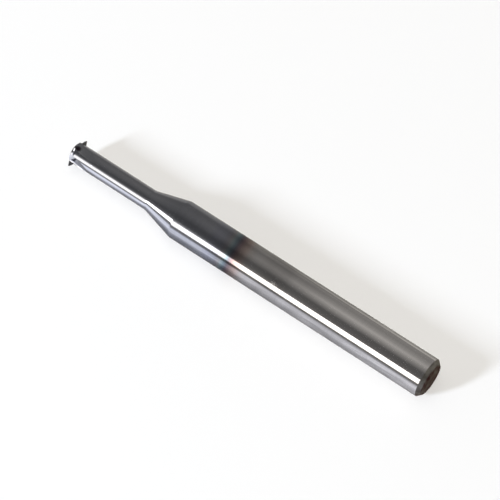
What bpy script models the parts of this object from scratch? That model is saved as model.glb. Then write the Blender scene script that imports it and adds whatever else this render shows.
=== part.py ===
"""A solid carbide thread mill with a single row of V teeth, standing on the end of its shank.

The tool is one piece. It is modelled as it is ground: a turned blank with a plain shank, a cone, a thin
neck and a small front cone; four V teeth formed round the head with their relief behind each cutting
edge; and four helical flutes that run out on the neck where the grinding wheel leaves it. The origin is
the centre of the shank's end, +Z runs along the axis to the cutting head, and at the height of the
crests the first cutting edge lies on +X. It turns and cuts right-handed, so the edges lead towards +Y
from there. Lengths are in metres and angles in degrees.
"""

import math

import bmesh
import bpy
from mathutils import Matrix, Vector

# The turned blank; the neck is measured from the end of the cone to the row of crests
SHANK_DIAMETER = 0.006
SHANK_LENGTH = 0.043
SHANK_CHAMFER = 0.0006
CONE_HALF_ANGLE = 15.0
CONE_SHANK_BLEND = 0.0008
CONE_NECK_BLEND = 0.0020
NECK_DIAMETER = 0.00315
NECK_LENGTH = 0.01302
FRONT_BEVEL = 0.000375
FRONT_STEP = 0.00004

# The V teeth, which leave an internal thread of 1 mm pitch
HEAD_DIAMETER = 0.0045
THREAD_ANGLE = 60.0
CREST_FLAT = 0.0001
TOOTH_COUNT = 4
LAND_ANGLE = 28.0
RELIEF_ANGLE = 22.0

# The flutes, whose depth is measured below the neck's surface
RAKE_ANGLE = 8.0
FLUTE_HELIX_ANGLE = 13.0
FLUTE_DEPTH = 0.00024
FLUTE_CORNER_RADIUS = 0.00028
FLUTE_BEHIND_CREST = 0.0008
WHEEL_RADIUS = 0.012

# How finely the round shapes are faceted
TURN_STEPS = 96
BLEND_STEPS = 5
LAND_STEPS = 14
FLUTE_STEP = 0.00028
RUNOUT_STEPS = 12
CORNER_STEPS = 5
FLOOR_STEPS = 4

# What the shapes that are joined or cut away stand past each other
OVERCUT = 0.0004
FOOT_DEPTH = 0.00005

SHANK_RADIUS = SHANK_DIAMETER / 2
NECK_RADIUS = NECK_DIAMETER / 2
HEAD_RADIUS = HEAD_DIAMETER / 2
FRONT_RADIUS = NECK_RADIUS - FRONT_BEVEL
CORE_RADIUS = NECK_RADIUS - FLUTE_DEPTH
FLANK_SLOPE = math.tan(math.radians(THREAD_ANGLE / 2))
CONE_LENGTH = (SHANK_RADIUS - NECK_RADIUS) / math.tan(math.radians(CONE_HALF_ANGLE))
CREST_HEIGHT = SHANK_LENGTH + CONE_LENGTH + NECK_LENGTH
OVERALL_LENGTH = CREST_HEIGHT + CREST_FLAT / 2 + (HEAD_RADIUS - FRONT_RADIUS) * FLANK_SLOPE
TWIST = math.tan(math.radians(FLUTE_HELIX_ANGLE)) / HEAD_RADIUS
PITCH_ANGLE = 360.0 / TOOTH_COUNT


def clear_scene():
    for obj in list(bpy.data.objects):
        bpy.data.objects.remove(obj, do_unlink=True)


def metal(name, color, roughness):
    """A bare or coated metal with the colour and the roughness given."""
    material = bpy.data.materials.new(name)
    material.use_nodes = True
    shader = material.node_tree.nodes["Principled BSDF"]
    shader.inputs["Base Color"].default_value = (*color, 1.0)
    shader.inputs["Metallic"].default_value = 1.0
    shader.inputs["Roughness"].default_value = roughness
    return material


def link(name, mesh):
    obj = bpy.data.objects.new(name, mesh)
    bpy.context.scene.collection.objects.link(obj)
    return obj


def as_helper(obj):
    """Keeps a shape that is only joined to the body, or cut out of it, out of the picture."""
    obj.hide_render = True
    obj.display_type = "WIRE"
    return obj


def rounded(corners):
    """The polyline through corners of (radius, height, blend), each inner corner turned into an arc."""
    points = []
    for index, (x, z, blend) in enumerate(corners):
        here = Vector((x, z))
        if blend <= 0 or index in (0, len(corners) - 1):
            points.append(here)
            continue
        before = (Vector(corners[index - 1][:2]) - here).normalized()
        after = (Vector(corners[index + 1][:2]) - here).normalized()
        half = before.angle(after) / 2
        centre = here + (before + after).normalized() * (blend / math.sin(half))
        start = here + before * (blend / math.tan(half)) - centre
        sweep = start.angle_signed(here + after * (blend / math.tan(half)) - centre)
        for step in range(BLEND_STEPS + 1):
            turn = Matrix.Rotation(-sweep * step / BLEND_STEPS, 2)
            points.append(centre + turn @ start)
    return points


def blank_profile():
    """The turned outline of the blank, from its front face down to the end of its shank."""
    shoulder = OVERALL_LENGTH - (NECK_RADIUS - FRONT_RADIUS + FRONT_STEP) * FLANK_SLOPE
    cone_end = SHANK_LENGTH + CONE_LENGTH
    below_flutes = max(flute_path()[-1][0] - OVERCUT, cone_end + CONE_NECK_BLEND)
    return rounded(
        [
            (0.0, OVERALL_LENGTH, 0.0),
            (FRONT_RADIUS - FRONT_STEP, OVERALL_LENGTH, 0.0),
            (NECK_RADIUS, shoulder, 0.0),
            (NECK_RADIUS, below_flutes, 0.0),
            (NECK_RADIUS, cone_end, CONE_NECK_BLEND),
            (SHANK_RADIUS, SHANK_LENGTH, CONE_SHANK_BLEND),
            (SHANK_RADIUS, SHANK_CHAMFER, 0.0),
            (SHANK_RADIUS - SHANK_CHAMFER, 0.0, 0.0),
            (0.0, 0.0, 0.0),
        ]
    )


def turned_blank():
    """The profile drawn at +X and turned once round Z."""
    drawing = bmesh.new()
    points = [drawing.verts.new((p.x, 0.0, p.y)) for p in blank_profile()]
    for first, second in zip(points, points[1:]):
        drawing.edges.new((first, second))
    mesh = bpy.data.meshes.new("thread_mill")
    drawing.to_mesh(mesh)
    drawing.free()
    blank = link("thread_mill", mesh)
    turn = blank.modifiers.new("Turned once round", "SCREW")
    turn.axis = "Z"
    turn.angle = math.tau
    turn.steps = TURN_STEPS
    turn.render_steps = TURN_STEPS
    turn.use_merge_vertices = True
    turn.merge_threshold = 1e-7
    return blank


def lofted(name, sections):
    """A closed solid through sections that all have the same number of points, capped at both ends."""
    solid = bmesh.new()
    rings = [[solid.verts.new(point) for point in section] for section in sections]
    for lower, upper in zip(rings, rings[1:]):
        for index in range(len(lower)):
            following = (index + 1) % len(lower)
            solid.faces.new((lower[index], lower[following], upper[following], upper[index]))
    solid.faces.new(list(reversed(rings[0])))
    solid.faces.new(rings[-1])
    bmesh.ops.recalc_face_normals(solid, faces=solid.faces)
    if solid.calc_volume(signed=True) < 0:
        bmesh.ops.reverse_faces(solid, faces=solid.faces)
    mesh = bpy.data.meshes.new(name)
    solid.to_mesh(mesh)
    solid.free()
    return as_helper(link(name, mesh))


def placed(radius, height, angle):
    """A point at a radius, a height and an angle round the axis, turned along with the flutes' helix."""
    turned = math.radians(angle) + TWIST * (height - CREST_HEIGHT)
    return Vector((radius * math.cos(turned), radius * math.sin(turned), height))


def relief_drop(behind):
    """How far the land has fallen at an angle behind its cutting edge."""
    return HEAD_RADIUS * math.radians(max(behind, 0.0)) * math.tan(math.radians(RELIEF_ANGLE))


def tooth_section(behind):
    """The V of a tooth, as (radius, height), at an angle behind its cutting edge."""
    crest = HEAD_RADIUS - relief_drop(behind)
    foot = NECK_RADIUS - FOOT_DEPTH
    reach = CREST_FLAT / 2 + max(crest - foot, FOOT_DEPTH) * FLANK_SLOPE
    core = CORE_RADIUS * 0.6
    return [
        (core, CREST_HEIGHT - reach),
        (foot, CREST_HEIGHT - reach),
        (crest, CREST_HEIGHT - CREST_FLAT / 2),
        (crest, CREST_HEIGHT + CREST_FLAT / 2),
        (foot, CREST_HEIGHT + reach),
        (core, CREST_HEIGHT + reach),
    ]


def tooth(edge_angle):
    """One tooth: its V swept from just ahead of the cutting edge to past its heel, falling as it goes."""
    sections = []
    first, last = -4.0, LAND_ANGLE + 10.0
    for step in range(LAND_STEPS + 1):
        behind = first + (last - first) * step / LAND_STEPS
        section = tooth_section(min(behind, LAND_ANGLE + 4.0))
        sections.append([placed(r, z, edge_angle - behind) for r, z in section])
    return lofted(f"tooth_{edge_angle:.0f}", sections)


def flute_outline():
    """The flute across the axis, its cutting edge on +X: the rake face, the corner, the floor and the mouth."""
    rake = math.radians(RAKE_ANGLE)
    edge = Vector((HEAD_RADIUS, 0.0))
    inward = Vector((-math.cos(rake), -math.sin(rake)))
    heel_angle = math.radians(PITCH_ANGLE - LAND_ANGLE)
    heel_radius = HEAD_RADIUS - relief_drop(LAND_ANGLE)
    heel = heel_radius * Vector((math.cos(heel_angle), math.sin(heel_angle)))
    foot_angle = heel_angle - math.acos(CORE_RADIUS / heel_radius)
    along = Vector((-math.sin(foot_angle), math.cos(foot_angle)))
    normal = Vector((math.cos(foot_angle), math.sin(foot_angle)))
    deep = (CORE_RADIUS - edge.dot(normal)) / inward.dot(normal)
    corner = edge + inward * deep
    half = (-inward).angle(along) / 2
    centre = corner + (along - inward).normalized() * (FLUTE_CORNER_RADIUS / math.sin(half))
    start = corner - inward * (FLUTE_CORNER_RADIUS / math.tan(half)) - centre
    sweep = start.angle_signed(corner + along * (FLUTE_CORNER_RADIUS / math.tan(half)) - centre)
    points = [edge - inward * OVERCUT * 1.5]
    for step in range(CORNER_STEPS + 1):
        points.append(centre + Matrix.Rotation(-sweep * step / CORNER_STEPS, 2) @ start)
    floor = points[-1]
    mouth = heel + along * OVERCUT * 2
    points.extend(floor.lerp(mouth, step / FLOOR_STEPS) for step in range(1, FLOOR_STEPS + 1))
    for share in (0.9, 0.5, 0.1):
        angle = heel_angle * share
        points.append(HEAD_RADIUS * 1.45 * Vector((math.cos(angle), math.sin(angle))))
    return points


def flute_path():
    """Heights along the flute from past the front face, each with how far the wheel has lifted there."""
    straight_end = CREST_HEIGHT - FLUTE_BEHIND_CREST
    top = OVERALL_LENGTH + OVERCUT
    steps = max(2, math.ceil((top - straight_end) / FLUTE_STEP))
    path = [(top + (straight_end - top) * step / steps, 0.0) for step in range(steps + 1)]
    lift_off = NECK_RADIUS - CORE_RADIUS + OVERCUT / 2
    end_turn = math.acos(1 - lift_off / WHEEL_RADIUS)
    for step in range(1, RUNOUT_STEPS + 1):
        turned = end_turn * step / RUNOUT_STEPS
        lift = WHEEL_RADIUS * (1 - math.cos(turned))
        path.append((straight_end - WHEEL_RADIUS * math.sin(turned), lift))
    return path


def flute(edge_angle):
    """What one grinding wheel takes away: the flute's outline swept down the helix, then out of the neck."""
    outline = flute_outline()
    middle = math.radians((PITCH_ANGLE - LAND_ANGLE) / 2)
    outward = Vector((math.cos(middle), math.sin(middle)))
    sections = []
    for height, lift in flute_path():
        turned = math.radians(edge_angle) + TWIST * (height - CREST_HEIGHT)
        turn = Matrix.Rotation(turned, 3, "Z")
        section = [point + outward * lift for point in outline]
        sections.append([turn @ Vector((p.x, p.y, 0.0)) + Vector((0.0, 0.0, height)) for p in section])
    return lofted(f"flute_{edge_angle:.0f}", sections)


def gathered(name, helpers):
    """The helpers in a collection of their own, so that one Boolean takes them all."""
    group = bpy.data.collections.new(name)
    bpy.context.scene.collection.children.link(group)
    for obj in helpers:
        bpy.context.scene.collection.objects.unlink(obj)
        group.objects.link(obj)
    return group


def add_boolean(body, name, operation, group):
    boolean = body.modifiers.new(name, "BOOLEAN")
    boolean.operation = operation
    boolean.solver = "EXACT"
    boolean.operand_type = "COLLECTION"
    boolean.collection = group


def finish_body(body, material):
    """Makes the modified shape the body's own mesh, with its round faces shaded smooth."""
    bpy.context.view_layer.update()
    graph = bpy.context.evaluated_depsgraph_get()
    mesh = bpy.data.meshes.new_from_object(body.evaluated_get(graph))
    mesh.name = body.name
    body.modifiers.clear()
    body.data = mesh
    cleaned = bmesh.new()
    cleaned.from_mesh(mesh)
    bmesh.ops.remove_doubles(cleaned, verts=cleaned.verts, dist=1e-6)
    bmesh.ops.dissolve_degenerate(cleaned, edges=cleaned.edges, dist=1e-7)
    bmesh.ops.recalc_face_normals(cleaned, faces=cleaned.faces)
    cleaned.to_mesh(mesh)
    cleaned.free()
    mesh.materials.clear()
    mesh.materials.append(material)
    mesh.shade_smooth()
    mesh.set_sharp_from_angle(angle=math.radians(20))


def build():
    clear_scene()
    body = turned_blank()
    edges = [index * PITCH_ANGLE for index in range(TOOTH_COUNT)]
    teeth = gathered("teeth", [tooth(angle) for angle in edges])
    flutes = gathered("flutes", [flute(angle) for angle in edges])
    add_boolean(body, "Teeth round the head", "UNION", teeth)
    add_boolean(body, "Flutes ground out", "DIFFERENCE", flutes)
    finish_body(body, metal("ground_and_coated_carbide", (0.30, 0.30, 0.31), 0.28))


build()
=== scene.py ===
"""A solid carbide thread mill lying on a white table: bare ground shank, dark coated head.

The piece is ground from the same few sizes as its frame, with finer facets, and takes one metal whose
finish changes along the tool: an as-cut end, a bare ground shank, a ring of temper colours where the
coating begins, and the coating itself. The tool's axis is +Z, so the table it lies on is an upright plane.
The metal mirrors the table's glow and a dim room round the tool. Two lamps light the matt surfaces.
"""

import math

import bmesh
import bpy
from mathutils import Matrix, Quaternion, Vector


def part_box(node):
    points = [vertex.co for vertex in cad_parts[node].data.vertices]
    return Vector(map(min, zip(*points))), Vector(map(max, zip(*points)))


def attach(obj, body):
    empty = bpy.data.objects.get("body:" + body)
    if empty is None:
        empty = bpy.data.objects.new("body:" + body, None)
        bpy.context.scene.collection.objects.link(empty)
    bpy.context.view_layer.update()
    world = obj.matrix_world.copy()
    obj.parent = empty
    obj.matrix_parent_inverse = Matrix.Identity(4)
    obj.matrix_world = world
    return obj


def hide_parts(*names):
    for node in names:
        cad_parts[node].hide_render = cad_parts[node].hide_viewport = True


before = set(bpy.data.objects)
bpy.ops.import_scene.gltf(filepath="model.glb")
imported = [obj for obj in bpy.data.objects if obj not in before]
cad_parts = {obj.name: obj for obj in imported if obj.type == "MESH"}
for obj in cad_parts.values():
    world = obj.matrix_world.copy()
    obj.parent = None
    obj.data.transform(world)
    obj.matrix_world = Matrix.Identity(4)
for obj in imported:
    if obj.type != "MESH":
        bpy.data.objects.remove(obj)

bl_info = {
    "name": "Thread Mill",
    "version": (1, 0, 0),
    "blender": (4, 5, 0),
    "location": "3D View > Sidebar > Thread Mill",
    "description": "Grinds a coated thread mill and lays it on a white table",
    "category": "Add Mesh",
}

NODE = "thread_mill"
BODY = "root"
LOW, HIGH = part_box(NODE)
OVERALL_LENGTH = HIGH.z
SHANK_RADIUS = HIGH.x

# How finely the round shapes are faceted
TURN_STEPS = 256
BLEND_STEPS = 12
LAND_STEPS = 40
FLUTE_STEP = 0.00009
RUNOUT_STEPS = 44
CORNER_STEPS = 12
FLOOR_STEPS = 12

# How far the wheels cut past a surface, and how deep the foot of a tooth sinks into the neck
OVERCUT = 0.0004
FOOT_DEPTH = 0.00005

# How far a tooth is swept ahead of its cutting edge and past its heel, and where it stops falling
EDGE_LEAD = math.radians(4.0)
HEEL_TRAIL = math.radians(10.0)
FALL_TRAIL = math.radians(4.0)

# The inside of a tooth as a share of the core's radius, and the flute's mouth as a share of the head's,
# with the shares of the heel's angle at which the mouth has its points
ROOT_SHARE = 0.6
MOUTH_SHARE = 1.45
MOUTH_TURNS = (0.9, 0.5, 0.1)

# Points closer than these distances are one, on the blank and after the cuts, and an edge between faces
# that turn by more than this angle stays sharp
WELD_DISTANCE = 1e-7
CUT_WELD_DISTANCE = 5e-7
SHARP_ANGLE = math.radians(22)

# How far the ramps reach to each side of their middle: across the table, and along the tool at the ring
TABLE_SEEN = 0.064
RING_SEEN = 0.010
MILLIMETRE = 0.001

# The middle of the painted shade in one gullet, and how far out it is full and gone
SHADED_GULLET_PLACE = (0.00030, -0.00136, 0.0613)
SHADED_GULLET_FULL = 0.00025
SHADED_GULLET_GONE = 0.00065

# The middle of the faint smear on the shank, how far out it is full and gone, and how much it dulls the metal
SMEAR_PLACE = (-0.00102, -0.00282, 0.0256)
SMEAR_FULL = 0.0001
SMEAR_GONE = 0.0008
SMEAR_DULLNESS = 0.20


class ThreadMillSizes(bpy.types.PropertyGroup):
    """The sizes that the tool is ground to"""

    shank_diameter: bpy.props.FloatProperty(
        name="Shank diameter",
        description="Diameter of the plain cylinder that a collet holds",
        default=2 * SHANK_RADIUS,
        unit="LENGTH",
    )
    shank_length: bpy.props.FloatProperty(
        name="Shank length",
        description="From the end of the shank to the start of the cone",
        default=0.043,
        unit="LENGTH",
    )
    shank_chamfer: bpy.props.FloatProperty(
        name="Shank chamfer",
        description="Width of the chamfer round the end of the shank",
        default=0.0006,
        unit="LENGTH",
    )
    cone_half_angle: bpy.props.FloatProperty(
        name="Cone half angle",
        description="Slope of the cone that joins the shank to the neck",
        default=math.radians(15.0),
        subtype="ANGLE",
    )
    neck_diameter: bpy.props.FloatProperty(
        name="Neck diameter",
        description="Diameter of the neck that passes through the thread",
        default=0.00315,
        unit="LENGTH",
    )
    head_diameter: bpy.props.FloatProperty(
        name="Head diameter",
        description="Diameter over the crests of the teeth",
        default=0.0045,
        unit="LENGTH",
    )
    thread_angle: bpy.props.FloatProperty(
        name="Thread angle",
        description="Angle between the two flanks of a tooth",
        default=math.radians(60.0),
        subtype="ANGLE",
    )
    crest_flat: bpy.props.FloatProperty(
        name="Crest flat",
        description="Width of the flat along the crest of a tooth",
        default=0.0001,
        unit="LENGTH",
    )
    teeth: bpy.props.IntProperty(
        name="Teeth",
        description="Number of cutting edges round the head",
        default=4,
        min=2,
    )
    land_angle: bpy.props.FloatProperty(
        name="Land",
        description="Angle that each tooth takes up round the head",
        default=math.radians(28.0),
        subtype="ANGLE",
    )
    relief_angle: bpy.props.FloatProperty(
        name="Relief",
        description="How steeply the land falls behind its cutting edge",
        default=math.radians(22.0),
        subtype="ANGLE",
    )
    rake_angle: bpy.props.FloatProperty(
        name="Rake",
        description="How far the face of a tooth leans back from the radius",
        default=math.radians(8.0),
        subtype="ANGLE",
    )
    helix_angle: bpy.props.FloatProperty(
        name="Flute helix",
        description="Lean of the flutes against the axis, measured at the crests",
        default=math.radians(13.0),
        subtype="ANGLE",
    )
    flute_depth: bpy.props.FloatProperty(
        name="Flute depth",
        description="Depth of the flutes below the surface of the neck",
        default=0.00024,
        unit="LENGTH",
    )
    flute_corner: bpy.props.FloatProperty(
        name="Flute corner radius",
        description="Radius where the rake face meets the floor of a flute",
        default=0.00028,
        unit="LENGTH",
    )
    flute_behind_crest: bpy.props.FloatProperty(
        name="Flute behind the crest",
        description="How far behind the crests the grinding wheel starts to lift",
        default=0.0008,
        unit="LENGTH",
    )
    wheel_radius: bpy.props.FloatProperty(
        name="Grinding wheel radius",
        description="Radius of the run-out at the end of each flute",
        default=0.012,
        unit="LENGTH",
    )
    front_bevel: bpy.props.FloatProperty(
        name="Front bevel",
        description="How far the front face stands in from the surface of the neck",
        default=0.000375,
        unit="LENGTH",
    )
    front_step: bpy.props.FloatProperty(
        name="Front step",
        description="How far the small front cone stands in from the flanks of the teeth",
        default=0.00004,
        unit="LENGTH",
    )
    shank_blend: bpy.props.FloatProperty(
        name="Blend into the shank",
        description="Radius where the cone meets the shank",
        default=0.0008,
        unit="LENGTH",
    )
    neck_blend: bpy.props.FloatProperty(
        name="Blend into the neck",
        description="Radius where the cone meets the neck",
        default=0.0020,
        unit="LENGTH",
    )
    edge_rounding: bpy.props.FloatProperty(
        name="Edge rounding",
        description="Radius left on the edges of the chamfer",
        default=0.00004,
        unit="LENGTH",
    )


class ThreadMillFinish(bpy.types.PropertyGroup):
    """The colours of the metal and where they change"""

    bare_carbide: bpy.props.FloatVectorProperty(
        name="Bare carbide",
        description="Colour of the ground shank",
        default=(0.55, 0.54, 0.565),
        size=3,
        min=0.0,
        max=1.0,
        subtype="COLOR",
    )
    cut_end: bpy.props.FloatVectorProperty(
        name="Cut end",
        description="Colour of the as-cut end of the shank",
        default=(0.10, 0.088, 0.078),
        size=3,
        min=0.0,
        max=1.0,
        subtype="COLOR",
    )
    burnt_end: bpy.props.FloatVectorProperty(
        name="Burnt end",
        description="Colour of the blotches on the as-cut end",
        default=(0.058, 0.028, 0.028),
        size=3,
        min=0.0,
        max=1.0,
        subtype="COLOR",
    )
    chamfer: bpy.props.FloatVectorProperty(
        name="Chamfer",
        description="Colour of the roughly ground chamfer",
        default=(0.185, 0.177, 0.168),
        size=3,
        min=0.0,
        max=1.0,
        subtype="COLOR",
    )
    coating: bpy.props.FloatVectorProperty(
        name="Coating",
        description="Colour of the hard coating on the shank",
        default=(0.46, 0.475, 0.55),
        size=3,
        min=0.0,
        max=1.0,
        subtype="COLOR",
    )
    neck_coating: bpy.props.FloatVectorProperty(
        name="Coating on the neck",
        description="Colour of the hard coating on the finely ground neck and head",
        default=(0.56, 0.575, 0.655),
        size=3,
        min=0.0,
        max=1.0,
        subtype="COLOR",
    )
    # Painted shade: the back flanks of the teeth are darkened in colour, not ground rougher
    shaded_flank_coating: bpy.props.FloatVectorProperty(
        name="Coating on the flanks",
        description="Colour of the hard coating on the roughly ground back flanks of the teeth",
        default=(0.14, 0.14, 0.15),
        size=3,
        min=0.0,
        max=1.0,
        subtype="COLOR",
    )
    # Painted shade: a dark patch that stands for the shadow in the gullet ahead of one tooth, not a deposit
    gullet: bpy.props.FloatVectorProperty(
        name="Gullet",
        description="Colour of the deposit in the gullet ahead of one tooth",
        default=(0.07, 0.055, 0.075),
        size=3,
        min=0.0,
        max=1.0,
        subtype="COLOR",
    )
    coating_start: bpy.props.FloatProperty(
        name="Coating starts at",
        description="Darkest place of the ring of temper colours, from the end of the shank",
        default=0.0337,
        unit="LENGTH",
    )


class ThreadMillStage(bpy.types.PropertyGroup):
    """The table, the lights and the camera"""

    table_azimuth: bpy.props.FloatProperty(
        name="Table faces",
        description="Azimuth of the direction in which the table faces, seen from the tool",
        default=math.radians(-79.478),
        subtype="ANGLE",
    )
    table_size: bpy.props.FloatProperty(
        name="Table size",
        description="Side of the square table",
        default=4.0,
        unit="LENGTH",
    )
    table_colour: bpy.props.FloatVectorProperty(
        name="Table colour",
        description="Colour of the matt table",
        default=(0.93, 0.92, 0.905),
        size=3,
        min=0.0,
        max=1.0,
        subtype="COLOR",
    )
    key_angle: bpy.props.FloatProperty(
        name="Key light angle",
        description="Angle of the key light across the tool, from straight above the table",
        default=math.radians(58.3),
        subtype="ANGLE",
    )
    key_lean: bpy.props.FloatProperty(
        name="Key light lean",
        description="How far the key light stands towards the head of the tool",
        default=math.radians(26.0),
        subtype="ANGLE",
    )
    key_width: bpy.props.FloatProperty(
        name="Key light width",
        description="Width of the key light across the tool",
        default=0.31,
        unit="LENGTH",
    )
    key_length: bpy.props.FloatProperty(
        name="Key light length",
        description="Length of the key light along the tool",
        default=0.127,
        unit="LENGTH",
    )
    key_power: bpy.props.FloatProperty(
        name="Key light power",
        description="Power of the key light",
        default=9.3,
        unit="POWER",
    )
    key_distance: bpy.props.FloatProperty(
        name="Key light distance",
        description="From the tool to the key light",
        default=1.2,
        unit="LENGTH",
    )
    key_colour: bpy.props.FloatVectorProperty(
        name="Key light colour",
        description="Colour of the key light",
        default=(0.775, 0.852, 0.985),
        size=3,
        min=0.0,
        max=1.0,
        subtype="COLOR",
    )
    fill_size: bpy.props.FloatProperty(
        name="Fill light size",
        description="Side of the square fill light over the table",
        default=0.8,
        unit="LENGTH",
    )
    fill_power: bpy.props.FloatProperty(
        name="Fill light power",
        description="Power of the fill light",
        default=8.05,
        unit="POWER",
    )
    fill_distance: bpy.props.FloatProperty(
        name="Fill light distance",
        description="From the tool to the fill light",
        default=1.0,
        unit="LENGTH",
    )
    warm: bpy.props.FloatVectorProperty(
        name="Warm light",
        description="Colour of the fill light and the even light from all sides",
        default=(1.0, 0.986, 0.958),
        size=3,
        min=0.0,
        max=1.0,
        subtype="COLOR",
    )
    room_radius: bpy.props.FloatProperty(
        name="Room radius",
        description="Radius of the dim room that the metal reflects",
        default=0.7,
        unit="LENGTH",
    )
    ambient: bpy.props.FloatProperty(
        name="Ambient light",
        description="Strength of the even light from all sides on matt surfaces",
        default=0.16,
        min=0.0,
    )
    camera_azimuth: bpy.props.FloatProperty(
        name="Camera azimuth",
        description="Direction from the tool to the camera round the tool's axis",
        default=math.radians(-103.0),
        subtype="ANGLE",
    )
    camera_lean: bpy.props.FloatProperty(
        name="Camera lean",
        description="How far the camera stands towards the end of the shank",
        default=math.radians(16.189),
        subtype="ANGLE",
    )
    camera_roll: bpy.props.FloatProperty(
        name="Camera roll",
        description="Turn of the picture about the line of sight",
        default=math.radians(-57.359),
        subtype="ANGLE",
    )
    camera_distance: bpy.props.FloatProperty(
        name="Camera distance",
        description="From the camera to the point it looks at",
        default=0.47271,
        unit="LENGTH",
    )
    camera_aim: bpy.props.FloatVectorProperty(
        name="Camera aim",
        description="The point at the middle of the picture",
        default=(0.001621, -0.000374, 0.031967),
        size=3,
        unit="LENGTH",
        subtype="TRANSLATION",
    )
    camera_lens: bpy.props.FloatProperty(
        name="Camera lens",
        description="Focal length in millimetres on a 36 mm sensor",
        default=241.907,
    )


def link(name, mesh):
    """An object of the mesh, put into the scene."""
    obj = bpy.data.objects.new(name, mesh)
    bpy.context.scene.collection.objects.link(obj)
    return obj


def mesh_from(name, shape):
    """The bmesh as a mesh of its own."""
    mesh = bpy.data.meshes.new(name)
    shape.to_mesh(mesh)
    shape.free()
    return mesh


class Form:
    """The lengths and angles that follow from the sizes."""

    def __init__(self, sizes):
        self.sizes = sizes
        self.shank = sizes.shank_diameter / 2
        self.neck = sizes.neck_diameter / 2
        self.head = sizes.head_diameter / 2
        self.front = self.neck - sizes.front_bevel
        self.core = self.neck - sizes.flute_depth
        self.flank = math.tan(sizes.thread_angle / 2)
        self.cone_end = sizes.shank_length + (self.shank - self.neck) / math.tan(sizes.cone_half_angle)
        self.crest_height = OVERALL_LENGTH - sizes.crest_flat / 2 - (self.head - self.front) * self.flank
        self.twist = math.tan(sizes.helix_angle) / self.head
        self.pitch = math.tau / sizes.teeth

    def relief_drop(self, behind):
        """How far the land has fallen at an angle behind its cutting edge."""
        return self.head * max(behind, 0.0) * math.tan(self.sizes.relief_angle)


def rounded(corners):
    """The polyline through corners of (radius, height, blend), each inner corner turned into an arc."""
    points = []
    for index, (x, z, blend) in enumerate(corners):
        here = Vector((x, z))
        if blend <= 0 or index in (0, len(corners) - 1):
            points.append(here)
            continue
        before = (Vector(corners[index - 1][:2]) - here).normalized()
        after = (Vector(corners[index + 1][:2]) - here).normalized()
        half = before.angle(after) / 2
        centre = here + (before + after).normalized() * (blend / math.sin(half))
        start = here + before * (blend / math.tan(half)) - centre
        sweep = start.angle_signed(here + after * (blend / math.tan(half)) - centre)
        for step in range(BLEND_STEPS + 1):
            turn = Matrix.Rotation(-sweep * step / BLEND_STEPS, 2)
            points.append(centre + turn @ start)
    return points


def blank_profile(form):
    """The turned outline of the blank, from its front face down to the end of its shank."""
    sizes = form.sizes
    shoulder = OVERALL_LENGTH - (form.neck - form.front + sizes.front_step) * form.flank
    below_flutes = flute_path(form)[-1][0] - OVERCUT
    return rounded(
        [
            (0.0, OVERALL_LENGTH, 0.0),
            (form.front - sizes.front_step, OVERALL_LENGTH, 0.0),
            (form.neck, shoulder, 0.0),
            (form.neck, below_flutes, 0.0),
            (form.neck, form.cone_end, sizes.neck_blend),
            (form.shank, sizes.shank_length, sizes.shank_blend),
            (form.shank, sizes.shank_chamfer, sizes.edge_rounding),
            (form.shank - sizes.shank_chamfer, 0.0, sizes.edge_rounding),
            (0.0, 0.0, 0.0),
        ]
    )


def turned_blank(form):
    """The profile drawn at +X and turned once round Z."""
    drawing = bmesh.new()
    points = [drawing.verts.new((p.x, 0.0, p.y)) for p in blank_profile(form)]
    for first, second in zip(points, points[1:]):
        drawing.edges.new((first, second))
    blank = link("ground_body", mesh_from("ground_body", drawing))
    turn = blank.modifiers.new("Turned once round", "SCREW")
    turn.axis = "Z"
    turn.angle = math.tau
    turn.steps = TURN_STEPS
    turn.render_steps = TURN_STEPS
    turn.use_merge_vertices = True
    turn.merge_threshold = WELD_DISTANCE
    return blank


def lofted(name, sections):
    """A closed solid through sections that all have the same number of points, capped at both ends."""
    solid = bmesh.new()
    rings = [[solid.verts.new(point) for point in section] for section in sections]
    for lower, upper in zip(rings, rings[1:]):
        for index in range(len(lower)):
            following = (index + 1) % len(lower)
            solid.faces.new((lower[index], lower[following], upper[following], upper[index]))
    solid.faces.new(list(reversed(rings[0])))
    solid.faces.new(rings[-1])
    bmesh.ops.recalc_face_normals(solid, faces=solid.faces)
    if solid.calc_volume(signed=True) < 0:
        bmesh.ops.reverse_faces(solid, faces=solid.faces)
    return link(name, mesh_from(name, solid))


def tooth(form, edge_angle):
    """One tooth: its V swept from just ahead of the cutting edge to past its heel, falling as it goes."""
    sizes = form.sizes
    first = -EDGE_LEAD
    last = sizes.land_angle + HEEL_TRAIL
    foot = form.neck - FOOT_DEPTH
    root = form.core * ROOT_SHARE
    sections = []
    for step in range(LAND_STEPS + 1):
        behind = first + (last - first) * step / LAND_STEPS
        crest = form.head - form.relief_drop(min(behind, sizes.land_angle + FALL_TRAIL))
        half = sizes.crest_flat / 2
        reach = half + max(crest - foot, FOOT_DEPTH) * form.flank
        lower = [(root, -reach), (foot, -reach), (crest, -half)]
        upper = [(crest, half), (foot, reach), (root, reach)]
        section = []
        for radius, along in lower + upper:
            turned = edge_angle - behind + form.twist * along
            height = form.crest_height + along
            section.append((radius * math.cos(turned), radius * math.sin(turned), height))
        sections.append(section)
    return lofted("tooth", sections)


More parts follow.
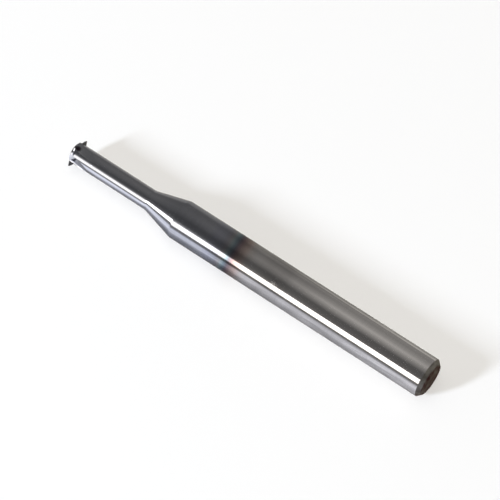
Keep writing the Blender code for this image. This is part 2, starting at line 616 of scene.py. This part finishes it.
def flute_outline(form):
    """The flute across the axis, cutting edge on +X: the rake face, the corner, the floor and the mouth."""
    sizes = form.sizes
    edge = Vector((form.head, 0.0))
    inward = Vector((-math.cos(sizes.rake_angle), -math.sin(sizes.rake_angle)))
    heel_angle = form.pitch - sizes.land_angle
    heel_radius = form.head - form.relief_drop(sizes.land_angle)
    heel = heel_radius * Vector((math.cos(heel_angle), math.sin(heel_angle)))
    foot_angle = heel_angle - math.acos(form.core / heel_radius)
    along = Vector((-math.sin(foot_angle), math.cos(foot_angle)))
    normal = Vector((math.cos(foot_angle), math.sin(foot_angle)))
    corner = edge + inward * ((form.core - edge.dot(normal)) / inward.dot(normal))
    half = (-inward).angle(along) / 2
    centre = corner + (along - inward).normalized() * (sizes.flute_corner / math.sin(half))
    start = corner - inward * (sizes.flute_corner / math.tan(half)) - centre
    sweep = start.angle_signed(corner + along * (sizes.flute_corner / math.tan(half)) - centre)
    points = [edge - inward * OVERCUT * 1.5]
    for step in range(CORNER_STEPS + 1):
        points.append(centre + Matrix.Rotation(-sweep * step / CORNER_STEPS, 2) @ start)
    floor = points[-1]
    mouth = heel + along * OVERCUT * 2
    points.extend(floor.lerp(mouth, step / FLOOR_STEPS) for step in range(1, FLOOR_STEPS + 1))
    for share in MOUTH_TURNS:
        angle = heel_angle * share
        points.append(form.head * MOUTH_SHARE * Vector((math.cos(angle), math.sin(angle))))
    return points


def flute_path(form):
    """Heights along the flute from past the front face, each with how far the wheel has lifted there."""
    sizes = form.sizes
    straight_end = form.crest_height - sizes.flute_behind_crest
    top = OVERALL_LENGTH + OVERCUT
    steps = math.ceil((top - straight_end) / FLUTE_STEP)
    path = [(top + (straight_end - top) * step / steps, 0.0) for step in range(steps + 1)]
    end_turn = math.acos(1 - (form.neck - form.core + OVERCUT / 2) / sizes.wheel_radius)
    for step in range(1, RUNOUT_STEPS + 1):
        turned = end_turn * step / RUNOUT_STEPS
        lift = sizes.wheel_radius * (1 - math.cos(turned))
        path.append((straight_end - sizes.wheel_radius * math.sin(turned), lift))
    return path


def flute(form, edge_angle):
    """What one grinding wheel takes away: the flute's outline swept down the helix, then out of the neck."""
    outline = flute_outline(form)
    middle = (form.pitch - form.sizes.land_angle) / 2
    outward = Vector((math.cos(middle), math.sin(middle)))
    sections = []
    for height, lift in flute_path(form):
        turn = Matrix.Rotation(edge_angle + form.twist * (height - form.crest_height), 2)
        section = [turn @ (point + outward * lift) for point in outline]
        sections.append([(p.x, p.y, height) for p in section])
    return lofted("flute", sections)


def worked(body, name, operation, helpers):
    """Joins the helpers to the body, or cuts them out of it, and removes them."""
    group = bpy.data.collections.new(name)
    for obj in helpers:
        group.objects.link(obj)
    boolean = body.modifiers.new(name, "BOOLEAN")
    boolean.operation = operation
    boolean.solver = "EXACT"
    boolean.operand_type = "COLLECTION"
    boolean.collection = group
    bpy.context.view_layer.update()
    graph = bpy.context.evaluated_depsgraph_get()
    mesh = bpy.data.meshes.new_from_object(body.evaluated_get(graph))
    body.modifiers.clear()
    body.data = mesh
    bpy.data.collections.remove(group)
    for obj in helpers:
        bpy.data.objects.remove(obj)


def smoothed(body):
    """Merges what the cuts left too close together and shades the round faces smooth."""
    cleaned = bmesh.new()
    cleaned.from_mesh(body.data)
    bmesh.ops.remove_doubles(cleaned, verts=cleaned.verts, dist=CUT_WELD_DISTANCE)
    bmesh.ops.dissolve_degenerate(cleaned, edges=cleaned.edges, dist=WELD_DISTANCE)
    bmesh.ops.recalc_face_normals(cleaned, faces=cleaned.faces)
    cleaned.to_mesh(body.data)
    cleaned.free()
    body.data.shade_smooth()
    body.data.set_sharp_from_angle(angle=SHARP_ANGLE)


def add_node(tree, kind, settings=(), inputs=()):
    """A node of the kind given, with its settings and the values of its inputs."""
    node = tree.nodes.new(kind)
    for name, value in dict(settings).items():
        setattr(node, name, value)
    for name, value in dict(inputs).items():
        node.inputs[name].default_value = value
    return node


def ramped(tree, factor, stops):
    """The colour that the factor picks from a ramp of (position, colour) stops."""
    ramp = add_node(tree, "ShaderNodeValToRGB")
    elements = ramp.color_ramp.elements
    elements.remove(elements[-1])
    for index, (position, colour) in enumerate(stops):
        element = elements[0] if index == 0 else elements.new(position)
        element.position = position
        element.color = (*colour, 1.0)
    tree.links.new(factor, ramp.inputs["Fac"])
    return ramp.outputs["Color"]


def ramp_place(millimetres, reach):
    """Where a distance from the middle of what a ramp covers lies on that ramp."""
    return 0.5 + millimetres * MILLIMETRE / (2 * reach)


def between(tree, factor, first, second):
    """The colour that goes from the first to the second with the factor; each is a socket or a colour."""
    mixed = add_node(tree, "ShaderNodeMix", {"data_type": "RGBA"})
    tree.links.new(factor, mixed.inputs["Factor"])
    for socket, source in ((mixed.inputs[6], first), (mixed.inputs[7], second)):
        if isinstance(source, bpy.types.NodeSocket):
            tree.links.new(source, socket)
        else:
            socket.default_value = (*source, 1.0)
    return mixed.outputs[2]


def ranged(tree, source, first, last, smooth=False):
    """How far the source has come from the first value to the last, each given as (value, result)."""
    node = add_node(
        tree,
        "ShaderNodeMapRange",
        {"interpolation_type": "SMOOTHSTEP" if smooth else "LINEAR"},
        {"From Min": first[0], "From Max": last[0], "To Min": first[1], "To Max": last[1]},
    )
    tree.links.new(source, node.inputs["Value"])
    return node.outputs["Result"]


def calculated(tree, operation, first, second):
    """The sum, the product or the larger of two values."""
    node = add_node(tree, "ShaderNodeMath", {"operation": operation})
    tree.links.new(first, node.inputs[0])
    tree.links.new(second, node.inputs[1])
    return node.outputs["Value"]


def noise(tree, place, scale, detail, roughness=0.5):
    """Cloudy values that change with the place."""
    node = add_node(
        tree, "ShaderNodeTexNoise", inputs={"Scale": scale, "Detail": detail, "Roughness": roughness}
    )
    tree.links.new(place, node.inputs["Vector"])
    return node.outputs["Fac"]


def axial(tree, vector):
    """The part of a place or a direction that runs along the tool."""
    parts = add_node(tree, "ShaderNodeSeparateXYZ")
    tree.links.new(vector, parts.inputs["Vector"])
    return parts.outputs["Z"]


def along_direction(tree, place, direction):
    """How far the place lies in a direction."""
    node = add_node(tree, "ShaderNodeVectorMath", {"operation": "DOT_PRODUCT"})
    tree.links.new(place, node.inputs[0])
    node.inputs[1].default_value = direction
    return node.outputs["Value"]


def near(tree, place, middle, inner, outer):
    """How close the place is to a point, from the inner (distance, result) to the outer."""
    away = add_node(tree, "ShaderNodeVectorMath", {"operation": "DISTANCE"})
    tree.links.new(place, away.inputs[0])
    away.inputs[1].default_value = middle
    return ranged(tree, away.outputs["Value"], inner, outer, smooth=True)


def coated_colour(tree, place, height, finish, sizes):
    """Bare metal, the ring of temper colours and the coating, with painted shade on the back flanks and in
    one gullet.
    """
    # The edge of the coating strays a little and lies askew on the shank
    stray = 0.25 * MILLIMETRE
    strayed = ranged(tree, noise(tree, place, 260.0, 3.0), (0.0, -stray), (1.0, stray))
    askew = along_direction(tree, place, (-0.056, -0.244, 0.0))
    at_ring = calculated(tree, "ADD", calculated(tree, "ADD", height, strayed), askew)
    start = finish.coating_start
    across = ranged(tree, at_ring, (start - RING_SEEN, 0.0), (start + RING_SEEN, 1.0))
    bare = Vector(finish.bare_carbide)
    colours = (
        (-9.8, bare),
        (-8.6, bare * 0.88),
        (-5.6, bare * 0.90),
        (-4.2, bare),
        (-3.1, bare),
        (-2.2, (0.53, 0.50, 0.51)),
        (-1.8, (0.52, 0.45, 0.455)),
        (-1.4, (0.45, 0.37, 0.36)),
        (-0.95, (0.36, 0.29, 0.29)),
        (-0.5, (0.26, 0.20, 0.22)),
        (-0.05, (0.18, 0.17, 0.21)),
        (0.4, (0.20, 0.255, 0.31)),
        (0.8, (0.31, 0.37, 0.415)),
        (1.25, (0.35, 0.35, 0.39)),
        (1.7, (0.34, 0.34, 0.40)),
        (2.1, (0.36, 0.375, 0.45)),
        (3.4, (0.42, 0.435, 0.53)),
        (4.6, finish.coating),
    )
    ring = ramped(
        tree, across, [(ramp_place(distance, RING_SEEN), colour) for distance, colour in colours]
    )

    # The neck and the head are ground finer than the shank. The back flanks of the teeth, which face the end
    # of the shank, take a dark colour that is painted shade
    neck_begins = sizes.shank_length
    neck_full = neck_begins + 4 * MILLIMETRE
    onto_neck = ranged(tree, height, (neck_begins, 0.0), (neck_full, 1.0))
    outward = add_node(tree, "ShaderNodeNewGeometry").outputs["Normal"]
    flank_begins, flank_full = -0.5, -0.7
    on_shaded_flank = ranged(tree, axial(tree, outward), (flank_begins, 0.0), (flank_full, 1.0))
    front = between(tree, on_shaded_flank, finish.neck_coating, finish.shaded_flank_coating)
    # Painted shade in the gullet ahead of one tooth
    in_shaded_gullet = near(tree, place, SHADED_GULLET_PLACE, (SHADED_GULLET_FULL, 1.0), (SHADED_GULLET_GONE, 0.0))
    front = between(tree, in_shaded_gullet, front, finish.gullet)
    return between(tree, onto_neck, ring, front)


def carbide(finish, sizes):
    """Ground carbide, bare towards the shank's end and coated towards the head."""
    material = bpy.data.materials.new("ground_and_coated_carbide")
    material.use_nodes = True
    tree = material.node_tree
    links = tree.links
    shader = tree.nodes["Principled BSDF"]
    shader.inputs["Metallic"].default_value = 0.97
    shader.inputs["Anisotropic"].default_value = 0.5
    shader.inputs["Anisotropic Rotation"].default_value = 0.25

    place = add_node(tree, "ShaderNodeTexCoord").outputs["Object"]
    height = axial(tree, place)
    coated = coated_colour(tree, place, height, finish, sizes)

    # The as-cut end of the shank is darker than its ground chamfer, and both have blotches
    on_chamfer = ranged(tree, height, (0.01 * MILLIMETRE, 0.0), (0.05 * MILLIMETRE, 1.0))
    blotches = ranged(tree, noise(tree, place, 1150.0, 4.0), (0.40, 0.0), (0.60, 1.0))
    cut = between(tree, blotches, finish.burnt_end, finish.cut_end)
    chamfer = Vector(finish.chamfer)
    ground = between(tree, blotches, chamfer * 0.70, chamfer * 1.10)
    end = between(tree, on_chamfer, cut, ground)
    shank_begins = sizes.shank_chamfer - 0.03 * MILLIMETRE
    shank_full = sizes.shank_chamfer + 0.02 * MILLIMETRE
    on_shank = ranged(tree, height, (shank_begins, 0.0), (shank_full, 1.0))
    colour = between(tree, on_shank, end, coated)

    # What the metal keeps of its brightness at a glancing angle, with the blotches duller there too
    glancing_end = between(tree, blotches, (0.34, 0.25, 0.245), (0.60, 0.59, 0.55))
    glancing = between(tree, on_shank, glancing_end, (0.6, 0.6, 0.6))
    links.new(glancing, shader.inputs["Specular Tint"])

    # Fine rings left by the grinding wheel
    stretch = add_node(tree, "ShaderNodeMapping", inputs={"Scale": (60.0, 60.0, 5200.0)})
    links.new(place, stretch.inputs["Vector"])
    marks = noise(tree, stretch.outputs["Vector"], 1.0, 4.0, 0.65)
    coloured = add_node(tree, "ShaderNodeVectorMath", {"operation": "SCALE"})
    links.new(colour, coloured.inputs[0])
    links.new(ranged(tree, marks, (0.0, 0.88), (1.0, 1.10)), coloured.inputs["Scale"])
    links.new(coloured.outputs["Vector"], shader.inputs["Base Color"])

    # The end is duller than the shank, and so is a faint smear
    smear = near(tree, place, SMEAR_PLACE, (SMEAR_FULL, SMEAR_DULLNESS), (SMEAR_GONE, 0.0))
    dull = calculated(tree, "ADD", ranged(tree, marks, (0.0, 0.08), (1.0, 0.12)), smear)
    rough = add_node(tree, "ShaderNodeMix", {"data_type": "FLOAT"}, {"A": 0.32})
    links.new(on_shank, rough.inputs["Factor"])
    links.new(dull, rough.inputs["B"])
    links.new(rough.outputs["Result"], shader.inputs["Roughness"])
    bump = add_node(tree, "ShaderNodeBump", inputs={"Strength": 0.03, "Distance": 0.00001})
    links.new(marks, bump.inputs["Height"])
    links.new(bump.outputs["Normal"], shader.inputs["Normal"])

    round_axis = add_node(tree, "ShaderNodeTangent", {"direction_type": "RADIAL", "axis": "Z"})
    links.new(round_axis.outputs["Tangent"], shader.inputs["Tangent"])
    return material


def table_glow(tree, place, settings):
    """A painted reflection of the table for the metal: a glow with painted shade by the tool and painted
    shadow on its far side, paler a little way off, with uneven patches.
    """
    height = axial(tree, place)
    across = along_direction(tree, place, facing(settings.table_azimuth + math.pi / 2))

    # Beside the slim neck the pattern draws in towards the tool
    slim = ranged(tree, height, (46 * MILLIMETRE, 1.0), (54 * MILLIMETRE, 1.3))
    drawn_in = calculated(tree, "MULTIPLY", across, slim)
    spread = ranged(tree, drawn_in, (-TABLE_SEEN, 0.0), (TABLE_SEEN, 1.0))

    # From far off on the key side, past the tool, to far off on the other side, in millimetres; the low
    # levels next to the tool are painted shade and those on the other side painted shadow
    beside_bare = (
        (-64, 0.36), (-49, 0.70), (-29, 0.90), (-16, 1.05), (-12, 1.05), (-9.8, 0.97), (-7.8, 0.80),
        (-6.4, 0.75), (-4.5, 0.72), (3, 0.56), (8, 0.50), (10.7, 0.52), (14.5, 0.56), (22, 0.70),
        (50, 0.68), (64, 0.56),
    )
    beside_coated = (
        (-64, 0.47), (-49, 0.88), (-29, 0.98), (-16, 1.00), (-12, 1.02), (-9.8, 0.86), (-7.8, 0.60),
        (-6.4, 0.43), (-4.5, 0.32), (3, 0.38), (8, 0.50), (10.7, 0.40), (14.5, 0.34), (22, 0.28),
        (50, 0.24), (64, 0.20),
    )
    past_head = (
        (-64, 0.47), (-49, 0.88), (-29, 0.98), (-16, 1.00), (-12, 1.05), (8, 1.05), (12, 0.50),
        (22, 0.28), (50, 0.24), (64, 0.20),
    )
    lit_tint = Vector((0.995, 1.0, 1.015))
    shade_tint = Vector((1.045, 1.0, 0.885))
    glows = []
    for levels in (beside_bare, beside_coated, past_head):
        stops = []
        for away, grey in levels:
            tint = lit_tint if away < 0 else shade_tint
            stops.append((ramp_place(away, TABLE_SEEN), tint * grey))
        glows.append(ramped(tree, spread, stops))
    to_coated = ranged(tree, height, (22 * MILLIMETRE, 0.0), (36 * MILLIMETRE, 1.0), smooth=True)
    to_past_head = ranged(tree, height, (61.5 * MILLIMETRE, 0.0), (64 * MILLIMETRE, 1.0), smooth=True)
    colour = between(tree, to_past_head, between(tree, to_coated, glows[0], glows[1]), glows[2])

    # Along the tool, from heights in millimetres
    lengths = (
        (0, 0.98), (12, 0.98), (15, 0.88), (18, 0.82), (25, 0.83), (28, 0.90), (34, 0.93), (37, 1.05),
        (46, 1.08), (50, 1.26),
    )
    level = ramped(
        tree,
        ranged(tree, height, (0.0, 0.0), (TABLE_SEEN, 1.0)),
        [(along * MILLIMETRE / TABLE_SEEN, (grey, grey, grey)) for along, grey in lengths],
    )
    patches = ranged(tree, noise(tree, place, 330.0, 2.0), (0.3, 0.82), (0.7, 1.18))
    mirrored = add_node(tree, "ShaderNodeEmission")
    tree.links.new(colour, mirrored.inputs["Color"])
    tree.links.new(calculated(tree, "MULTIPLY", level, patches), mirrored.inputs["Strength"])
    return mirrored.outputs["Emission"]


def white_table(settings):
    """Matt white that keeps a shadow. The metal mirrors its glow instead, and it is clear from behind."""
    material = bpy.data.materials.new("white_table")
    material.use_nodes = True
    tree = material.node_tree
    links = tree.links
    matt = tree.nodes["Principled BSDF"]
    matt.inputs["Base Color"].default_value = (*settings.table_colour, 1.0)
    matt.inputs["Roughness"].default_value = 0.7
    matt.inputs["Specular IOR Level"].default_value = 0.1
    place = add_node(tree, "ShaderNodeNewGeometry")
    ray = add_node(tree, "ShaderNodeLightPath")
    front = add_node(tree, "ShaderNodeMixShader")
    links.new(ray.outputs["Is Glossy Ray"], front.inputs["Fac"])
    links.new(matt.outputs["BSDF"], front.inputs[1])
    links.new(table_glow(tree, place.outputs["Position"], settings), front.inputs[2])
    clear = add_node(tree, "ShaderNodeBsdfTransparent")
    shown = add_node(tree, "ShaderNodeMixShader")
    links.new(place.outputs["Backfacing"], shown.inputs["Fac"])
    links.new(front.outputs["Shader"], shown.inputs[1])
    links.new(clear.outputs["BSDF"], shown.inputs[2])
    links.new(shown.outputs["Shader"], tree.nodes["Material Output"].inputs["Surface"])
    return material


def room_place(angle):
    """Where an angle from straight above the table, in degrees towards the key light, lies on the ramp."""
    return 0.5 - angle / 360.0


def dim_room(settings):
    """The room round the table, as the metal sees it: a bright band on the key side, dim elsewhere."""
    material = bpy.data.materials.new("dim_room")
    material.use_nodes = True
    tree = material.node_tree
    tree.nodes.remove(tree.nodes["Principled BSDF"])
    place = add_node(tree, "ShaderNodeTexCoord").outputs["Object"]
    height = axial(tree, place)
    round_tool = add_node(tree, "ShaderNodeTexGradient", {"gradient_type": "RADIAL"})
    tree.links.new(place, round_tool.inputs["Vector"])

    # What each stretch of the tool mirrors, from the table on the key side over the ceiling to the table on
    # the other side
    zones = {
        "cut end": (
            (90, 0.70), (60, 0.28), (30, 0.28), (10, 0.33), (-20, 0.46), (-45, 0.50), (-90, 0.50),
        ),
        "teeth": (
            (90, 0.08), (-90, 0.08),
        ),
        "rear of the shank": (
            (90, 0.22), (78.9, 0.22), (76.3, 4.0), (54.6, 4.2), (52.2, 0.24), (47, 0.14), (40, 0.126),
            (24, 0.106), (15, 0.120), (8, 0.206), (-8, 0.402), (-24, 0.604), (-40, 0.420), (-64, 0.300),
            (-90, 0.335),
        ),
        "middle of the shank": (
            (90, 0.20), (78.0, 0.20), (75.0, 3.7), (54.3, 4.2), (51.8, 0.42), (46, 0.20), (40, 0.170),
            (32, 0.136), (24, 0.118), (15, 0.098), (8, 0.122), (-8, 0.230), (-24, 0.275), (-40, 0.250),
            (-64, 0.180), (-90, 0.310),
        ),
        "front of the shank": (
            (90, 0.24), (77.0, 0.20), (73.8, 3.6), (54.1, 4.2), (51.6, 0.56), (46, 0.13), (40, 0.074),
            (32, 0.052), (24, 0.043), (14, 0.042), (-8, 0.084), (-24, 0.116), (-40, 0.127), (-72, 0.117),
            (-90, 0.168),
        ),
        "neck": (
            (90, 0.28), (80.6, 0.24), (76.2, 1.6), (56.0, 1.75), (52.0, 1.05), (47, 0.45), (42, 0.21),
            (37, 0.11), (32, 0.068), (24, 0.059), (14, 0.058), (-8, 0.100), (-24, 0.116), (-40, 0.130),
            (-72, 0.118), (-90, 0.150),
        ),
        "cone": (
            (90, 0.24), (77.0, 0.20), (73.8, 3.6), (53.6, 4.2), (51.0, 0.50), (45, 0.17), (40, 0.11),
            (24, 0.064), (14, 0.060), (-8, 0.100), (-24, 0.112), (-40, 0.125), (-72, 0.115),
            (-90, 0.150),
        ),
    }

    # Where along the room each zone gives way to the next. The last four are counted from how far along
    # the tool a mirrored ray of the camera runs before it meets the room
    seen_at = settings.room_radius * math.tan(settings.camera_lean)
    changes = (
        (-0.6, -0.3),
        (0.095, 0.135),
        (seen_at - 0.012, seen_at + 0.0035),
        (seen_at + 0.027, seen_at + 0.040),
        (seen_at + 0.058, seen_at + 0.068),
        (seen_at + 0.150, seen_at + 0.210),
    )
    tint = Vector((1.045, 1.0, 0.90))
    mirrored = []
    for levels in zones.values():
        stops = [(room_place(angle), tint * grey) for angle, grey in levels]
        mirrored.append(ramped(tree, round_tool.outputs["Fac"], stops))
    seen = mirrored[0]
    for following, (first, last) in zip(mirrored[1:], changes):
        changed = ranged(tree, height, (first, 0.0), (last, 1.0), smooth=True)
        seen = between(tree, changed, seen, following)
    glow = add_node(tree, "ShaderNodeEmission", inputs={"Strength": 1.0})
    tree.links.new(seen, glow.inputs["Color"])
    tree.links.new(glow.outputs["Emission"], tree.nodes["Material Output"].inputs["Surface"])
    return material


def facing(azimuth):
    """The level direction at an azimuth."""
    return Vector((math.cos(azimuth), math.sin(azimuth), 0.0))


def lay_table(settings):
    """A plane that touches the shank on the side away from the camera."""
    normal = facing(settings.table_azimuth)
    middle = Vector((0.0, 0.0, (LOW.z + HIGH.z) / 2)) - normal * SHANK_RADIUS
    shape = bmesh.new()
    bmesh.ops.create_grid(shape, x_segments=1, y_segments=1, size=settings.table_size / 2)
    table = link("table", mesh_from("table", shape))
    table.rotation_mode = "QUATERNION"
    table.rotation_quaternion = normal.to_track_quat("Z", "Y")
    table.location = middle
    table.data.materials.append(white_table(settings))


def surround_with_room(settings):
    """A long tube round the tool that only the metal sees."""
    shape = bmesh.new()
    bmesh.ops.create_cone(
        shape,
        cap_ends=True,
        segments=96,
        radius1=settings.room_radius,
        radius2=settings.room_radius,
        depth=2 * settings.table_size,
    )
    room = link("room", mesh_from("room", shape))
    room.rotation_euler = (0.0, 0.0, settings.table_azimuth)
    room.visible_camera = False
    room.visible_diffuse = False
    room.visible_shadow = False
    room.data.materials.append(dim_room(settings))


def hang_light(name, direction, distance, size, power, colour):
    """A rectangular light on the middle of the tool from a direction, which the metal doesn't mirror."""
    lamp = bpy.data.lights.new(name, "AREA")
    lamp.shape = "RECTANGLE"
    lamp.size, lamp.size_y = size
    lamp.energy = power
    lamp.color = colour
    light = bpy.data.objects.new(name, lamp)
    bpy.context.scene.collection.objects.link(light)
    light.location = Vector((0.0, 0.0, (LOW.z + HIGH.z) / 2)) + direction * distance
    light.rotation_mode = "QUATERNION"
    light.rotation_quaternion = (-direction).to_track_quat("-Z", "Y")
    light.visible_camera = False
    light.visible_glossy = False
    return light


def key_light(settings):
    """A small softbox low over the table, on the side of the head, that throws the tool's shadow."""
    direction = facing(settings.table_azimuth - settings.key_angle) * math.cos(settings.key_lean)
    direction.z = math.sin(settings.key_lean)
    size = (settings.key_width, settings.key_length)
    hang_light("key_light", direction, settings.key_distance, size, settings.key_power, settings.key_colour)


def fill_light(settings):
    """A large light over the table for matt surfaces alone, which throws no shadow."""
    direction = facing(settings.table_azimuth)
    size = (settings.fill_size, settings.fill_size)
    light = hang_light(
        "fill_light", direction, settings.fill_distance, size, settings.fill_power, settings.warm
    )
    light.data.use_shadow = False


def place_camera(settings):
    """A long lens that looks at the tool from the side, a little from behind its shank."""
    back = facing(settings.camera_azimuth) * math.cos(settings.camera_lean)
    back.z = -math.sin(settings.camera_lean)
    upright = Matrix(
        (
            facing(settings.camera_azimuth + math.pi / 2),
            back.cross(facing(settings.camera_azimuth + math.pi / 2)),
            back,
        )
    ).transposed()
    camera = bpy.data.objects.new("camera", bpy.data.cameras.new("camera"))
    bpy.context.scene.collection.objects.link(camera)
    camera.data.lens = settings.camera_lens
    camera.data.clip_start = 0.01
    camera.data.clip_end = 10.0
    camera.rotation_mode = "QUATERNION"
    camera.rotation_quaternion = Quaternion(back, settings.camera_roll) @ upright.to_quaternion()
    camera.location = Vector(settings.camera_aim) + back * settings.camera_distance
    bpy.context.scene.camera = camera


def light_world(settings):
    """White where a camera or a reflection sees past the table and the room, and dim otherwise."""
    world = bpy.data.worlds.new("studio")
    bpy.context.scene.world = world
    world.use_nodes = True
    tree = world.node_tree
    dim = tree.nodes["Background"]
    dim.inputs["Color"].default_value = (*settings.warm, 1.0)
    dim.inputs["Strength"].default_value = settings.ambient
    white = add_node(tree, "ShaderNodeBackground", inputs={"Color": (1.0, 1.0, 1.0, 1.0), "Strength": 1.0})
    ray = add_node(tree, "ShaderNodeLightPath")
    direct = calculated(tree, "MAXIMUM", ray.outputs["Is Camera Ray"], ray.outputs["Is Glossy Ray"])
    seen = calculated(tree, "MAXIMUM", direct, ray.outputs["Is Transmission Ray"])
    both = add_node(tree, "ShaderNodeMixShader")
    tree.links.new(seen, both.inputs["Fac"])
    tree.links.new(dim.outputs["Background"], both.inputs[1])
    tree.links.new(white.outputs["Background"], both.inputs[2])
    tree.links.new(both.outputs["Shader"], tree.nodes["World Output"].inputs["Surface"])


class THREADMILL_OT_body(bpy.types.Operator):
    """Grinds the tool in one piece and gives it its metal"""

    bl_idname = "threadmill.body"
    bl_label = "Grind the thread mill"

    def execute(self, context):
        form = Form(context.scene.thread_mill_sizes)
        body = turned_blank(form)
        edges = [index * form.pitch for index in range(form.sizes.teeth)]
        worked(body, "Teeth round the head", "UNION", [tooth(form, angle) for angle in edges])
        worked(body, "Flutes ground out", "DIFFERENCE", [flute(form, angle) for angle in edges])
        smoothed(body)
        body.data.materials.clear()
        body.data.materials.append(carbide(context.scene.thread_mill_finish, form.sizes))
        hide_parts(NODE)
        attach(body, BODY)
        return {"FINISHED"}


class THREADMILL_OT_stage(bpy.types.Operator):
    """Lays the table, puts the room round it, hangs the lights and sets up the camera"""

    bl_idname = "threadmill.stage"
    bl_label = "Lay the table and light it"

    def execute(self, context):
        settings = context.scene.thread_mill_stage
        lay_table(settings)
        surround_with_room(settings)
        key_light(settings)
        fill_light(settings)
        light_world(settings)
        place_camera(settings)
        context.scene.view_settings.view_transform = "Standard"
        return {"FINISHED"}


class THREADMILL_PT_panel(bpy.types.Panel):
    """Lists the steps and the sizes and colours they use"""

    bl_idname = "THREADMILL_PT_panel"
    bl_label = "Thread Mill"
    bl_space_type = "VIEW_3D"
    bl_region_type = "UI"
    bl_category = "Thread Mill"

    def draw(self, context):
        layout = self.layout
        scene = context.scene
        for operator, group in (
            (THREADMILL_OT_body, scene.thread_mill_sizes),
            (None, scene.thread_mill_finish),
            (THREADMILL_OT_stage, scene.thread_mill_stage),
        ):
            if operator:
                layout.operator(operator.bl_idname)
            column = layout.column(align=True)
            for name in type(group).__annotations__:
                column.prop(group, name)


CLASSES = (
    ThreadMillSizes,
    ThreadMillFinish,
    ThreadMillStage,
    THREADMILL_OT_body,
    THREADMILL_OT_stage,
    THREADMILL_PT_panel,
)


def register():
    for kind in CLASSES:
        bpy.utils.register_class(kind)
    bpy.types.Scene.thread_mill_sizes = bpy.props.PointerProperty(type=ThreadMillSizes)
    bpy.types.Scene.thread_mill_finish = bpy.props.PointerProperty(type=ThreadMillFinish)
    bpy.types.Scene.thread_mill_stage = bpy.props.PointerProperty(type=ThreadMillStage)


def unregister():
    del bpy.types.Scene.thread_mill_stage
    del bpy.types.Scene.thread_mill_finish
    del bpy.types.Scene.thread_mill_sizes
    for kind in reversed(CLASSES):
        bpy.utils.unregister_class(kind)


def main():
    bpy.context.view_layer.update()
    register()
    bpy.ops.threadmill.body()
    bpy.ops.threadmill.stage()


if __name__ == "__main__":
    main()
